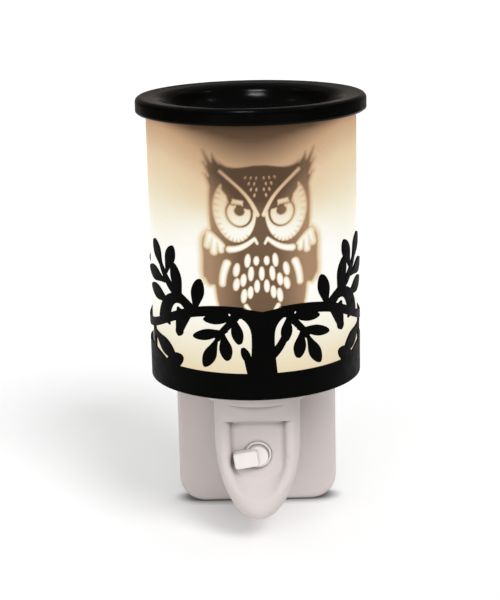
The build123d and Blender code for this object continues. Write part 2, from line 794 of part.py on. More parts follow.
def owl_body_openings():
    """Right half of the body: shoulder feathers, breast in staggered rows, wing slot and tail mark."""
    cuts = slot([(16.2, 38.8), (14.4, 37.2), (12.8, 35.4)], 1.1, 1.1)
    cuts += slot([(16.1, 38.2), (16.7, 34.8)], 1.3, 1)
    cuts += slot([(14.9, 37.2), (15.1, 32.8)], 1.4, 1.1)
    cuts += slot([(13.3, 35.8), (13.1, 33.6)], 1.3, 1)
    outer_rows = [(4.8, 30.3, 4.8), (8.5, 26.8, 4.6), (6.3, 23, 4.4), (8.6, 21.4, 4.2), (4, 18.3, 4.4), (6.2, 17, 5)]
    inner_rows = [(1.8, 30.3, 3.2), (3.7, 25.4, 5.2), (1.7, 20.6, 4.6)]
    for x, z, length in outer_rows + inner_rows:
        cuts += feather(x, z, length)
    cuts += slot([(11.4, 29.2), (12.5, 25.4), (12.9, 21.5)], 1.8, 1.2)
    return cuts + slot([(5.6, 13.2), (4.4, 11.4)], 1.2, 0.8)


def owl_half_outline():
    """Right half of the silhouette: crown, ear tufts with two barbs under them, cheek, wing and flank."""
    crown = Spline((0, 65), (5.4, 64.2), (10.4, 63.4), (15, 66.8))
    tuft = Polyline(
        crown @ 1, (15.3, 64.2), (17.3, 66.6), (16.6, 62.5), (17.2, 62), (16.2, 58.8), (16.9, 58.3), (16.1, 55.2)
    )
    cheek = Spline(tuft @ 1, (16.5, 50), (16.3, 40.6))
    wing = Spline(cheek @ 1, (18, 37), (18.2, 30), (17.8, 22.6), (16.6, 20.3))
    step = Line(wing @ 1, (15.4, 20.5))
    flank = Spline(step @ 1, (15.2, 18.4), (14.5, 13.6), (9.6, 5.2), (0, 0))
    return make_face([crown, tuft, cheek, wing, step, flank, Line(flank @ 1, crown @ 0)])


def make_owl_panel():
    """Bent stencil on a stem, its foot turned in along the floor."""
    half = owl_half_outline() - owl_face_openings() - owl_body_openings()
    stencil = half + mirror(half, Plane.YZ) - feather(0, 25.4, 5)
    stencil = Pos(0, floor_top + owl_rise) * scale(stencil, owl_unit)
    stem_height = owl_rise + owl_height / 10
    stencil += Pos(0, floor_top + stem_height / 2) * Rectangle(owl_stem_width, stem_height)

    bend_y = owl_front() + owl_bend
    low, high = floor_top, dish_top
    bend = Cylinder(owl_bend, high - low) - Cylinder(owl_bend - owl_sheet, high - low)
    sheet_ring = Pos(0, bend_y, (low + high) / 2) * bend
    prism = Pos(0, bend_y, 0) * extrude(Plane.XZ * stencil, 2 * owl_bend)
    panel = prism & sheet_ring

    foot = Pos(0, owl_front() + owl_foot_depth / 2, floor_top + owl_sheet / 2) * Box(
        owl_foot_width, owl_foot_depth, owl_sheet
    )
    foot &= disc_at(bend_y, owl_bend, floor_top, floor_top + owl_sheet)
    panel += foot
    for x, y in rivet_places(turn=0):
        panel -= Pos(x, y, floor_top) * Cylinder(rivet_radius + rivet_gap, 4 * owl_sheet)
    return at_axis(0) * Rot(0, 0, motif_turn) * Pos(0, shade_reach, 0) * panel


def disc_at(y, radius, low, high):
    """Upright solid cylinder on the middle line at depth y."""
    return Pos(0, y, (low + high) / 2) * Cylinder(radius, high - low)


def rivet_places(turn=motif_turn):
    """Rivets in the owl's foot, turned with the shade."""
    y = owl_front() + 0.6 * owl_foot_depth + shade_reach
    angle = math.radians(turn)
    places = []
    for x in (-rivet_spread / 2, rivet_spread / 2):
        turned_x = x * math.cos(angle) - y * math.sin(angle)
        turned_y = x * math.sin(angle) + y * math.cos(angle)
        places.append((turned_x, turned_y - shade_reach))
    return places


def make_owl_rivets():
    top = floor_top + owl_sheet
    length = top - floor_under
    rivet = Pos(0, 0, floor_under + length / 2) * Cylinder(rivet_radius, length)
    rivet += Pos(0, 0, top + rivet_head_height / 2) * Cylinder(rivet_head, rivet_head_height)
    rivet += Pos(0, 0, floor_under - rivet_head_height / 2) * Cylinder(rivet_head, rivet_head_height)
    return Compound(children=[Pos(x, y, 0) * rivet for x, y in rivet_places()])


def make_wax_dish():
    """Round shallow bowl whose flange caps the tube and turns down round it."""
    skirt_inner = tube_radius + dish_skirt_gap
    lip_z = dish_top - dish_inward_fall
    bowl_z = dish_top - dish_bowl_depth
    under_z = bowl_z - dish_wall

    # From the flat floor the bowl sweeps up in two arcs with one centre, so that its wall is even
    bowl_outer = tube_inner - dish_bowl_gap
    sweep_out, rise = bowl_outer - dish_bowl_floor, tube_top - under_z
    under_radius = (sweep_out**2 + rise**2) / (2 * rise)
    centre_z = under_z + under_radius
    reach = math.sqrt((under_radius - dish_wall) ** 2 - (centre_z - lip_z) ** 2)
    dish_opening = dish_bowl_floor + reach
    bowl = TangentArc((dish_bowl_floor, bowl_z), (dish_opening, lip_z), tangent=(1, 0))
    under = TangentArc((dish_bowl_floor, under_z), (bowl_outer, tube_top), tangent=(1, 0))
    flange = Polyline(
        bowl @ 1,
        (dish_radius, dish_top),
        (dish_radius, dish_top - dish_band),
        (skirt_inner, dish_top - dish_band),
        (skirt_inner, tube_top),
        under @ 1,
    )
    middle = Polyline(under @ 0, (0, under_z), (0, bowl_z), bowl @ 0)
    face = make_face([bowl, flange, under, middle])

    def corner(radius, z):
        return face.vertices().sort_by_distance((radius, z, 0))[0]

    rounds = [
        (corner(dish_radius, dish_top), dish_edge_round),
        (corner(dish_opening, lip_z), dish_lip_round),
        (corner(dish_radius, dish_top - dish_band), dish_foot_round),
    ]
    for vertex, radius in rounds:
        near = face.vertices().sort_by_distance(vertex)[0]
        face = fillet(near, radius)
    return Pos(0, -shade_reach, 0) * revolve(Plane.XZ * face, Axis.Z)


def make_screws(places, seat, length, shank, head, head_height, inward):
    return Compound(
        children=[screw(p, seat, length, shank, head, head_height, inward) for p in places]
    )


pieces = {
    "rear_cover": make_rear_cover(),
    "back_plate": make_back_plate(),
    "blade_line": make_blade(-1, line_blade_width),
    "blade_neutral": make_blade(1, neutral_blade_width),
    "blade_keeper": make_blade_keeper(),
    "cover_screws": make_screws(
        cover_screw_places(), -screw_head_height, cover_screw_length - screw_head_height,
        screw_shank, screw_head, screw_head_height, -1,
    ),
    "housing_screws": make_screws(
        housing_screw_places(), tray_floor, housing_screw_length,
        screw_shank, screw_head, screw_head_height, -1,
    ),
    "keeper_screws": make_screws(
        keeper_screw_places(), -cover_thickness - keeper_depth, keeper_screw_length,
        small_shank, small_head, small_head_height, 1,
    ),
    "switch_screws": make_screws(
        switch_screw_places(), cavity_front + switch_ear, switch_screw_length,
        small_shank, small_head, small_head_height, -1,
    ),
    "front_housing": make_front_housing(),
    "switch_body": make_switch_body(),
    "switch_knob": make_switch_knob(),
    "socket_sleeve": make_socket_sleeve(),
    "socket_shell": make_socket_shell(),
    "socket_contact": make_socket_contact(),
    "socket_ring": make_socket_ring(),
    "lead_line": make_lead_line(),
    "lead_switched": make_lead_switched(),
    "lead_neutral": make_lead_neutral(),
    "shade_floor": make_shade_floor(),
    "tree_sleeve": make_tree_sleeve(),
    "frosted_tube": make_frosted_tube(),
    "owl_panel": make_owl_panel(),
    "owl_rivets": make_owl_rivets(),
    "wax_dish": make_wax_dish(),
    "bulb_glass": make_bulb_glass(),
    "bulb_cap": make_bulb_cap(),
    "bulb_insulator": make_bulb_insulator(),
    "bulb_tip": make_bulb_tip(),
    "bulb_stem": make_bulb_stem(),
    "filament_leads": make_filament_leads(),
    "filament": make_filament(),
}

os.makedirs("parts", exist_ok=True)
for name, solid in pieces.items():
    export_step(solid, f"parts/{name}.step")
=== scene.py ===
import bpy
import numpy as np
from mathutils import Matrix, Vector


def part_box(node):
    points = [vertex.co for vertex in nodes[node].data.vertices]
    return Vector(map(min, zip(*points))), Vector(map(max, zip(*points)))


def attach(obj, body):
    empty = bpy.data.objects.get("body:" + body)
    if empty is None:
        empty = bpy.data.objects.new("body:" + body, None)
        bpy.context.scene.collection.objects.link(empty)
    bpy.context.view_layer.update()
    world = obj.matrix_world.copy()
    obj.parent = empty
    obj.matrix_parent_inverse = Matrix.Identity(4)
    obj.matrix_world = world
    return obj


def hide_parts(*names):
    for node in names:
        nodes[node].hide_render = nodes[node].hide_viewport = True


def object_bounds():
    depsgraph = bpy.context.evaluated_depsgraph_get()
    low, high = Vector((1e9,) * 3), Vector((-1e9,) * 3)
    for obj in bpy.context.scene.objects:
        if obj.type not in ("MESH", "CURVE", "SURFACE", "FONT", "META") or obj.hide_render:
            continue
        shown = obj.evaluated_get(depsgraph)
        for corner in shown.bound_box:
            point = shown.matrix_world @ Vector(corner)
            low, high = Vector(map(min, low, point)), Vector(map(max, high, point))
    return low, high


# The whole warmer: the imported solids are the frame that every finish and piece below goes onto.
# Blender works in metres, so sizes written in millimetres are multiplied by mm.
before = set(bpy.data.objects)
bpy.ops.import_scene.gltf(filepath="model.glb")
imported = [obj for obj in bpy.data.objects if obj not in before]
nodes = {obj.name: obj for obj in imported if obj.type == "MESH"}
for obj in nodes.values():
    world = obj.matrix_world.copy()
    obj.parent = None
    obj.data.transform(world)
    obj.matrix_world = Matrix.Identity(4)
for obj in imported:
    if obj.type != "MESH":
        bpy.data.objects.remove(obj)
cad_box = [list(corner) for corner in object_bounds()]
mm = 0.001


# Wall plate, its cover and the tongue-shaped housing: injection-moulded in warm off-white plastic,
# with the fine grain of an etched mould and edges softened where the plastic flows round them.
# The cover is screwed to the plate, and the housing is screwed on through the plate's floor.
def place(tree, kind, inputs, **settings):
    """Add one shader node: settings are its own choices, inputs are socket values or links."""
    node = tree.nodes.new("ShaderNode" + kind)
    for setting, choice in settings.items():
        setattr(node, setting, choice)
    for socket, value in inputs.items():
        if isinstance(value, bpy.types.NodeSocket):
            tree.links.new(value, node.inputs[socket])
        else:
            node.inputs[socket].default_value = value
    return node


def shader_group(name, inputs, outputs):
    """Empty node group with named sockets; returns the tree, its input links and its output node."""
    tree = bpy.data.node_groups.new(name, "ShaderNodeTree")
    for way, sockets in (("INPUT", inputs), ("OUTPUT", outputs)):
        for socket, kind in sockets.items():
            tree.interface.new_socket(name=socket, in_out=way, socket_type="NodeSocket" + kind)
    given = tree.nodes.new("NodeGroupInput").outputs
    return tree, given, tree.nodes.new("NodeGroupOutput")


smudges_per_patch = 4.0
patch_low, patch_high = 0.32, 0.68
smudge_low, smudge_high = 0.3, 0.7


def made_surface_group():
    """Uneven surface: the colour drifts between two tints in patches, the roughness in smaller smudges,
    and a fine noise gives the height of the grain."""
    tree, given, result = shader_group(
        "uneven_surface",
        {"Colour": "Color", "Tint": "Color", "Patch": "Float", "Grain": "Float",
         "Smoothest": "Float", "Roughest": "Float"},
        {"Colour": "Color", "Roughness": "Float", "Height": "Float"},
    )
    spot = place(tree, "TexCoord", {}).outputs["Object"]
    per_patch = place(tree, "Math", {0: 1.0, 1: given["Patch"]}, operation="DIVIDE").outputs[0]
    per_smudge = place(tree, "Math", {0: smudges_per_patch, 1: given["Patch"]}, operation="DIVIDE").outputs[0]
    per_grain = place(tree, "Math", {0: 1.0, 1: given["Grain"]}, operation="DIVIDE").outputs[0]
    patch = place(tree, "TexNoise", {"Vector": spot, "Scale": per_patch, "Detail": 4.0, "Roughness": 0.6})
    smudge = place(tree, "TexNoise", {"Vector": spot, "Scale": per_smudge, "Detail": 3.0})
    grain = place(tree, "TexNoise", {"Vector": spot, "Scale": per_grain, "Detail": 2.0})
    spread = place(
        tree, "MapRange",
        {0: patch.outputs["Fac"], 1: patch_low, 2: patch_high, 3: 0.0, 4: 1.0},
    )
    drift = place(
        tree, "Mix",
        {0: spread.outputs[0], 6: given["Colour"], 7: given["Tint"]}, data_type="RGBA",
    )
    sheen = place(
        tree, "MapRange",
        {0: smudge.outputs["Fac"], 1: smudge_low, 2: smudge_high,
         3: given["Smoothest"], 4: given["Roughest"]},
    )
    tree.links.new(drift.outputs[2], result.inputs["Colour"])
    tree.links.new(sheen.outputs[0], result.inputs["Roughness"])
    tree.links.new(grain.outputs["Fac"], result.inputs["Height"])
    return tree


uneven_surface = made_surface_group()
edge_samples, sky_samples = 6, 16


def surface_finish(name, surface, bump, soft_edge, shader, painted_shade=None):
    """Material: the uneven surface drives colour, roughness and bump, and soft_edge rounds corners in the
    shading. The last argument paints shade into the colour. It is (reach, closed, clear, darkest): halfway
    between the surface's own direction and straight up, the share of open sky within reach is taken. The
    colour is multiplied by darkest where that share is closed or less, as painted shade under a ledge, and
    stays itself where it is clear or more."""
    material = bpy.data.materials.new(name)
    material.use_nodes = True
    tree = material.node_tree
    principled = tree.nodes["Principled BSDF"]
    group = tree.nodes.new("ShaderNodeGroup")
    group.node_tree = uneven_surface
    for socket, value in surface.items():
        group.inputs[socket].default_value = value
    relief = place(tree, "Bump", {"Height": group.outputs["Height"], "Strength": 1.0, "Distance": bump})
    if soft_edge:
        rounded = place(tree, "Bevel", {"Radius": soft_edge}, samples=edge_samples)
        tree.links.new(rounded.outputs[0], relief.inputs["Normal"])
    colour = group.outputs["Colour"]
    # Painted shade: where little sky is open above the surface, as under a ledge, the colour is darkened.
    if painted_shade:
        reach, closed, clear, darkest = painted_shade
        facing = place(tree, "NewGeometry", {}).outputs["Normal"]
        upward = place(tree, "VectorMath", {0: facing, 1: (0, 0, 1)}, operation="ADD").outputs[0]
        upward = place(tree, "VectorMath", {0: upward}, operation="NORMALIZE").outputs[0]
        sky = place(tree, "AmbientOcclusion", {"Normal": upward, "Distance": reach}, samples=sky_samples)
        shade = place(tree, "MapRange", {0: sky.outputs["AO"], 1: closed, 2: clear, 3: darkest, 4: 1.0})
        colour = place(
            tree, "Mix", {0: 1.0, 6: colour, 7: shade.outputs[0]}, data_type="RGBA", blend_type="MULTIPLY",
        ).outputs[2]
    tree.links.new(colour, principled.inputs["Base Color"])
    tree.links.new(group.outputs["Roughness"], principled.inputs["Roughness"])
    tree.links.new(relief.outputs[0], principled.inputs["Normal"])
    for socket, value in shader.items():
        principled.inputs[socket].default_value = value
    return material


def dress(material, *names):
    """Give CAD nodes a material in place of their plain one."""
    for name in names:
        nodes[name].material_slots[0].material = material


# The painted shade on the plastic darkens its colour under ledges, such as the collar's lower edge and the
# top edge of the finger scoop.
moulded_plastic = surface_finish(
    "moulded_plastic",
    {"Colour": (0.56, 0.505, 0.49, 1), "Tint": (0.525, 0.47, 0.455, 1),
     "Patch": 40 * mm, "Grain": 0.35 * mm, "Smoothest": 0.36, "Roughest": 0.48},
    bump=0.006 * mm,
    soft_edge=2.2 * mm,
    shader={"Specular IOR Level": 0.4},
    painted_shade=(5 * mm, 0.32, 0.66, 0.3),
)
dress(moulded_plastic, "rear_cover", "back_plate", "front_housing")


# Switch lever and the switch behind it: both are brighter, smoother mouldings than the housing.
# The lever turns in the switch's round neck, and two ears screw the switch to the housing's inside.
lever_plastic = surface_finish(
    "lever_plastic",
    {"Colour": (0.70, 0.665, 0.645, 1), "Tint": (0.665, 0.63, 0.61, 1),
     "Patch": 12 * mm, "Grain": 0.3 * mm, "Smoothest": 0.30, "Roughest": 0.40},
    bump=0.004 * mm,
    soft_edge=0.8 * mm,
    shader={"Specular IOR Level": 0.45},
)
dress(lever_plastic, "switch_knob", "switch_body")


# Plug blades and every small screw: stamped strip and turned wire, nickel or zinc plated,
# brushed by handling so that their shine is a little uneven.
plated_metal = surface_finish(
    "plated_metal",
    {"Colour": (0.66, 0.64, 0.60, 1), "Tint": (0.58, 0.56, 0.52, 1),
     "Patch": 6 * mm, "Grain": 0.2 * mm, "Smoothest": 0.20, "Roughest": 0.36},
    bump=0.003 * mm,
    soft_edge=0.15 * mm,
    shader={"Metallic": 1.0},
)
dress(plated_metal, "blade_line", "blade_neutral")
dress(plated_metal, "cover_screws", "housing_screws", "keeper_screws", "switch_screws")


# Lamp socket with its ring nut, and the block that keeps the blades: black phenolic resin,
# pressed hot, so it is slightly glossy and faintly clouded.
pressed_resin = surface_finish(
    "pressed_resin",
    {"Colour": (0.022, 0.020, 0.019, 1), "Tint": (0.035, 0.031, 0.028, 1),
     "Patch": 8 * mm, "Grain": 0.25 * mm, "Smoothest": 0.28, "Roughest": 0.42},
    bump=0.004 * mm,
    soft_edge=0.2 * mm,
    shader={"Specular IOR Level": 0.5},
)
dress(pressed_resin, "socket_sleeve", "socket_ring", "blade_keeper")


# Shell and centre contact of the socket, and the bulb's cap: drawn brass, slightly darkened by heat.
# The shell and the contact sit in the resin sleeve, and the cap screws into the shell.
drawn_brass = surface_finish(
    "drawn_brass",
    {"Colour": (0.72, 0.52, 0.23, 1), "Tint": (0.55, 0.37, 0.16, 1),
     "Patch": 5 * mm, "Grain": 0.15 * mm, "Smoothest": 0.22, "Roughest": 0.40},
    bump=0.003 * mm,
    soft_edge=0.1 * mm,
    shader={"Metallic": 1.0},
)
dress(drawn_brass, "socket_shell", "socket_contact", "bulb_cap")


# Three leads inside the housing: stranded wire in black plastic insulation, soldered at both ends
# to the blades, the switch and the socket.
wire_cover = surface_finish(
    "wire_cover",
    {"Colour": (0.03, 0.03, 0.032, 1), "Tint": (0.045, 0.045, 0.047, 1),
     "Patch": 6 * mm, "Grain": 0.3 * mm, "Smoothest": 0.40, "Roughest": 0.52},
    bump=0.005 * mm,
    soft_edge=0,
    shader={"Specular IOR Level": 0.4},
)
dress(wire_cover, "lead_line", "lead_switched", "lead_neutral")


# Bulb: solder tip and black glass insulator under the brass cap, a thin blown envelope,
# and inside it the glass stem with two support wires and a glowing tungsten loop.
solder = surface_finish(
    "solder",
    {"Colour": (0.50, 0.50, 0.49, 1), "Tint": (0.40, 0.40, 0.39, 1),
     "Patch": 2 * mm, "Grain": 0.2 * mm, "Smoothest": 0.30, "Roughest": 0.50},
    bump=0.01 * mm,
    soft_edge=0,
    shader={"Metallic": 1.0},
)
dress(solder, "bulb_tip")

cap_glass = surface_finish(
    "cap_glass",
    {"Colour": (0.012, 0.012, 0.014, 1), "Tint": (0.02, 0.02, 0.024, 1),
     "Patch": 3 * mm, "Grain": 0.2 * mm, "Smoothest": 0.08, "Roughest": 0.16},
    bump=0.002 * mm,
    soft_edge=0,
    shader={"Specular IOR Level": 0.6},
)
dress(cap_glass, "bulb_insulator")

blown_glass = surface_finish(
    "blown_glass",
    {"Colour": (0.99, 0.97, 0.93, 1), "Tint": (0.97, 0.94, 0.88, 1),
     "Patch": 9 * mm, "Grain": 0.8 * mm, "Smoothest": 0.02, "Roughest": 0.06},
    bump=0.004 * mm,
    soft_edge=0,
    shader={"Transmission Weight": 1.0, "IOR": 1.45},
)
dress(blown_glass, "bulb_glass", "bulb_stem")

support_wire = surface_finish(
    "support_wire",
    {"Colour": (0.42, 0.40, 0.37, 1), "Tint": (0.33, 0.31, 0.28, 1),
     "Patch": 2 * mm, "Grain": 0.1 * mm, "Smoothest": 0.30, "Roughest": 0.45},
    bump=0.002 * mm,
    soft_edge=0,
    shader={"Metallic": 1.0},
)
dress(support_wire, "filament_leads")

hot_tungsten = surface_finish(
    "hot_tungsten",
    {"Colour": (0.30, 0.20, 0.12, 1), "Tint": (0.22, 0.14, 0.08, 1),
     "Patch": 1 * mm, "Grain": 0.1 * mm, "Smoothest": 0.40, "Roughest": 0.60},
    bump=0.002 * mm,
    soft_edge=0,
    shader={"Emission Color": (1.0, 0.72, 0.38, 1), "Emission Strength": 12.0},
)
dress(hot_tungsten, "filament")


# Shade floor, cut-out tree sleeve and owl stencil: laser-cut sheet steel in black powder coat,
# the sleeve rolled to a cylinder with tabs bent under the floor, the stencil riveted to the floor.
powder_coat = surface_finish(
    "powder_coat",
    {"Colour": (0.0007, 0.0007, 0.0006, 1), "Tint": (0.0012, 0.0011, 0.0010, 1),
     "Patch": 15 * mm, "Grain": 0.45 * mm, "Smoothest": 0.42, "Roughest": 0.56},
    bump=0.012 * mm,
    soft_edge=0.15 * mm,
    shader={"Specular IOR Level": 0.03},
)
dress(powder_coat, "shade_floor", "tree_sleeve", "owl_panel", "owl_rivets")


# Frosted tube: a glass cylinder sandblasted outside, standing on the shade floor round the lamp.
# Lamplight fills it, and the owl stencil close behind it throws its shadow onto the frosted wall; both are
# painted into the glow colour of a ring that takes the tube's place.
tube_low, tube_high = (np.array(corner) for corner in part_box("frosted_tube"))
tube_radius = (tube_high[0] - tube_low[0]) / 2
tube_wall = 2.5 * mm
inner_radius = tube_radius - tube_wall
axis_x, axis_y = (tube_low[:2] + tube_high[:2]) / 2
lamp_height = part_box("filament")[0][2]
lamp_radius = 11.0 * mm
frost_blur = 0.25 * mm
weld_digits = 7
facing_share = 0.5
no_length = 1e-18


def stencil_edges(name):
    """Outline of a sheet's side that faces away from the lamp: of the triangles whose direction has at least
    the facing share along the ray from the lamp, the edges that belong to only one."""
    mesh = nodes[name].data
    mesh.calc_loop_triangles()
    points = np.empty(len(mesh.vertices) * 3)
    mesh.vertices.foreach_get("co", points)
    corners = np.empty(len(mesh.loop_triangles) * 3, int)
    mesh.loop_triangles.foreach_get("vertices", corners)
    welded, index = np.unique(np.round(points.reshape(-1, 3), weld_digits), axis=0, return_inverse=True)
    corners = index.ravel()[corners].reshape(-1, 3)
    a, b, c = (welded[corners[:, k]] for k in range(3))
    normal = np.cross(b - a, c - a)
    ray = (a + b + c) / 3 - (axis_x, axis_y, lamp_height)
    size = np.linalg.norm(normal, axis=1) * np.linalg.norm(ray, axis=1)
    away = np.einsum("ij,ij->i", normal, ray) > facing_share * size
    sides = np.sort(corners[away][:, [0, 1, 1, 2, 2, 0]].reshape(-1, 2), axis=1)
    pairs, count = np.unique(sides, axis=0, return_counts=True)
    return welded[pairs[count == 1]]


def cast_on_tube(points):
    """Where rays from the lamp through points meet the tube's inner wall: the length round it from the front,
    measured on the outside, and the height; and how far from the axis the points themselves are."""
    x, y, z = np.moveaxis(points - (axis_x, axis_y, 0), -1, 0)
    reach = np.hypot(x, y)
    around = tube_radius * np.arctan2(x, -y)
    return around, lamp_height + (z - lamp_height) * inner_radius / reach, reach


def shadow_on_tube(around, height, edges):
    """Share of lamplight cut off: the distance to the cast outline, inside it taken as positive, over the
    half-shadow's width, which is the lamp's width times the gap to the wall over the way to the sheet.
    A point is inside where a line from it round the tube crosses the outline an odd number of times."""
    u, v, reach = cast_on_tube(edges)
    nearest = np.full(around.shape, np.inf)
    blur = np.full(around.shape, frost_blur)
    inside = np.zeros(around.shape, bool)
    for (u0, u1), (v0, v1), away in zip(u, v, reach.mean(axis=1)):
        squared = (u1 - u0) ** 2 + (v1 - v0) ** 2 + no_length
        along = np.clip(((around - u0) * (u1 - u0) + (height - v0) * (v1 - v0)) / squared, 0, 1)
        distance = np.hypot(around - u0 - along * (u1 - u0), height - v0 - along * (v1 - v0))
        closer = distance < nearest
        nearest[closer] = distance[closer]
        blur[closer] = frost_blur + 2 * lamp_radius * np.maximum(inner_radius - away, 0) / away
        if v0 != v1:
            crossing = u0 + (height - v0) * (u1 - u0) / (v1 - v0)
            inside ^= ((v0 > height) != (v1 > height)) & (around < crossing)
    depth = np.clip(0.5 + np.where(inside, nearest, -nearest) / blur, 0, 1)
    return depth * depth * (3 - 2 * depth)


dish_band = 6.4 * mm
dish_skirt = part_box("wax_dish")[1][2] - dish_band
front_spread, front_power = np.radians(57), 1.3
front_rise, lamp_depth = 8 * mm, 6 * mm
dim_start, dim_span, dim_share = 15 * mm, 17 * mm, 0.59
skirt_fade, skirt_share, skirt_front_share = 1.5 * mm, 0.18, 0.47


def lamplight(angle, height):
    """Painted light through the frosted wall from 0 to 1: it falls with the cube of the ray's slant above and
    below the lamp. At the front it stays full a little higher, but loses the dim share from there up. Just
    under the dish's skirt it fades as painted shade, most at the front."""
    front = np.clip(1 - (angle / front_spread) ** 2, 0, 1) ** front_power
    above = height - lamp_height - front_rise * front
    slant = np.maximum(np.maximum(above, lamp_height - lamp_depth - height), 0) / inner_radius
    high = np.clip((height - lamp_height - dim_start) / dim_span, 0, 1)
    light = (1 + slant**2) ** -1.5 * (1 - dim_share * front * high * high * (3 - 2 * high))
    below_skirt = np.clip(dish_skirt - height, 0, None)
    return light * (1 - (skirt_share + skirt_front_share * front) * np.exp(-below_skirt / skirt_fade))


front_half = np.radians(42)
owl_low, owl_high = 72 * mm, 136 * mm
front_columns, back_columns = 240, 90
lower_rows, owl_row_step, upper_rows, inside_rows = 30, 0.36 * mm, 8, 24
front = np.linspace(-front_half, front_half, front_columns)
back = np.linspace(front_half, 2 * np.pi - front_half, back_columns + 2)[1:-1]
angles = np.concatenate([front, back])
rows = np.concatenate([
    np.linspace(tube_low[2], owl_low, lower_rows)[:-1],
    np.arange(owl_low, owl_high, owl_row_step),
    np.linspace(owl_high, tube_high[2], upper_rows),
])
inner_rows = np.linspace(tube_high[2], tube_low[2], inside_rows)
sharp_edge = np.radians(40)
ring_radius = np.concatenate([np.full(rows.size, tube_radius), np.full(inner_rows.size, inner_radius)])
ring_height = np.concatenate([rows, inner_rows])


def turned_ring(name, radius, height, angle):
    """Closed ring: each profile point (radius, height) carried round the shade's axis through the angles,
    both the profile and the turn joined end to end."""
    turn, r = np.meshgrid(angle, radius, indexing="ij")
    z = np.broadcast_to(height, turn.shape)
    points = np.stack([axis_x + r * np.sin(turn), axis_y - r * np.cos(turn), z], axis=-1)
    index = np.arange(turn.size).reshape(turn.shape)
    beside = np.roll(index, -1, axis=0)
    quads = np.stack([index, beside, np.roll(beside, -1, axis=1), np.roll(index, -1, axis=1)], axis=-1)
    mesh = bpy.data.meshes.new(name)
    mesh.from_pydata(points.reshape(-1, 3), [], quads.reshape(-1, 4))
    mesh.polygons.foreach_set("use_smooth", np.ones(len(mesh.polygons), bool))
    mesh.set_sharp_from_angle(angle=sharp_edge)
    piece = bpy.data.objects.new(name, mesh)
    bpy.context.scene.collection.objects.link(piece)
    return piece, turn, z


# The ring's glow is painted: lamplight from the formula above, cut by the owl stencil's painted shadow.
tube_glow, turn, height = turned_ring("tube_glow", ring_radius, ring_height, angles)
turn = (turn + np.pi) % (2 * np.pi) - np.pi
light = lamplight(turn, height)
faces_out = np.arange(turn.shape[1]) < rows.size
by_owl = (np.abs(turn) < front_half) & (height > owl_low) & (height < owl_high) & faces_out
shadow = np.zeros(turn.shape)
shadow[by_owl] = shadow_on_tube(tube_radius * turn[by_owl], height[by_owl], stencil_edges("owl_panel"))

# Painted stray light in the owl's painted shadow: least at its crown, and more towards its body and its sides
crown_light, crown_top, crown_fade, body_gain = 0.095, 126 * mm, 14 * mm, 0.034
owl_middle, core_half, side_fade, side_gain = np.radians(2), np.radians(10), np.radians(16), 0.035
shadow_light = crown_light + body_gain * np.clip((crown_top - height) / crown_fade, 0, 1)
shadow_light = shadow_light + side_gain * np.clip((np.abs(turn - owl_middle) - core_half) / side_fade, 0, 1)
light = light * (1 - shadow) + np.minimum(light, shadow_light) * shadow

# Colours of the painted lamplight through the glass as it grows stronger: umber, brown, tan, sand, cream,
# warm white
light_steps = (0.0, 0.12, 0.19, 0.30, 0.50, 0.75, 1.0)
glow_colours = np.array([
    (0.010, 0.006, 0.003), (0.100, 0.056, 0.031), (0.550, 0.350, 0.205), (0.770, 0.590, 0.380),
    (0.835, 0.730, 0.520), (0.915, 0.880, 0.740), (1.000, 0.990, 0.950),
])
glow = np.stack([np.interp(light, light_steps, channel) for channel in glow_colours.T], axis=-1)
glow = np.concatenate([glow, np.ones(glow.shape[:2] + (1,))], axis=-1)
attribute = tube_glow.data.attributes.new("glow", "FLOAT_COLOR", "POINT")
attribute.data.foreach_set("color", glow.ravel())

frost_grain = 0.5 * mm
frost_low, frost_high = 0.2, 0.8
frost_dimmest, frost_brightest = 0.94, 1.02


def frosted_glass_finish():
    """Sandblasted glass: the glow attribute, which holds the painted lamplight and painted shadow, shines
    through a fine frost, which multiplies it by a noise between the dimmest and the brightest."""
    material = surface_finish(
        "frosted_glass",
        {"Colour": (0.012, 0.009, 0.007, 1), "Tint": (0.009, 0.007, 0.005, 1),
         "Patch": 20 * mm, "Grain": 0.18 * mm, "Smoothest": 0.50, "Roughest": 0.62},
        bump=0.006 * mm,
        soft_edge=0,
        shader={"Specular IOR Level": 0.06, "Emission Strength": 1.0},
    )
    tree = material.node_tree
    glow_colour = place(tree, "Attribute", {}, attribute_name="glow").outputs["Color"]
    spot = place(tree, "TexCoord", {}).outputs["Object"]
    frost = place(tree, "TexNoise", {"Vector": spot, "Scale": 1 / frost_grain, "Detail": 3.0})
    scatter = place(
        tree, "MapRange",
        {0: frost.outputs["Fac"], 1: frost_low, 2: frost_high, 3: frost_dimmest, 4: frost_brightest},
    )
    shine = place(
        tree, "Mix",
        {0: 1.0, 6: glow_colour, 7: scatter.outputs[0]}, data_type="RGBA", blend_type="MULTIPLY",
    )
    tree.links.new(shine.outputs[2], tree.nodes["Principled BSDF"].inputs["Emission Color"])
    return material


tube_glow.data.materials.append(frosted_glass_finish())
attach(tube_glow, "base")
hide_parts("frosted_tube")


# Wax dish: slip-cast stoneware in a black satin glaze, its flange resting on the tube's rim
# and its skirt turned down round the glass; it lifts off to be emptied.
satin_glaze = surface_finish(
    "satin_glaze",
    {"Colour": (0.0011, 0.0011, 0.0010, 1), "Tint": (0.0017, 0.0016, 0.0015, 1),
     "Patch": 18 * mm, "Grain": 1.6 * mm, "Smoothest": 0.13, "Roughest": 0.19},
    bump=0.005 * mm,
    soft_edge=0,
    shader={"Specular IOR Level": 0.03},
)
dress(satin_glaze, "wax_dish")
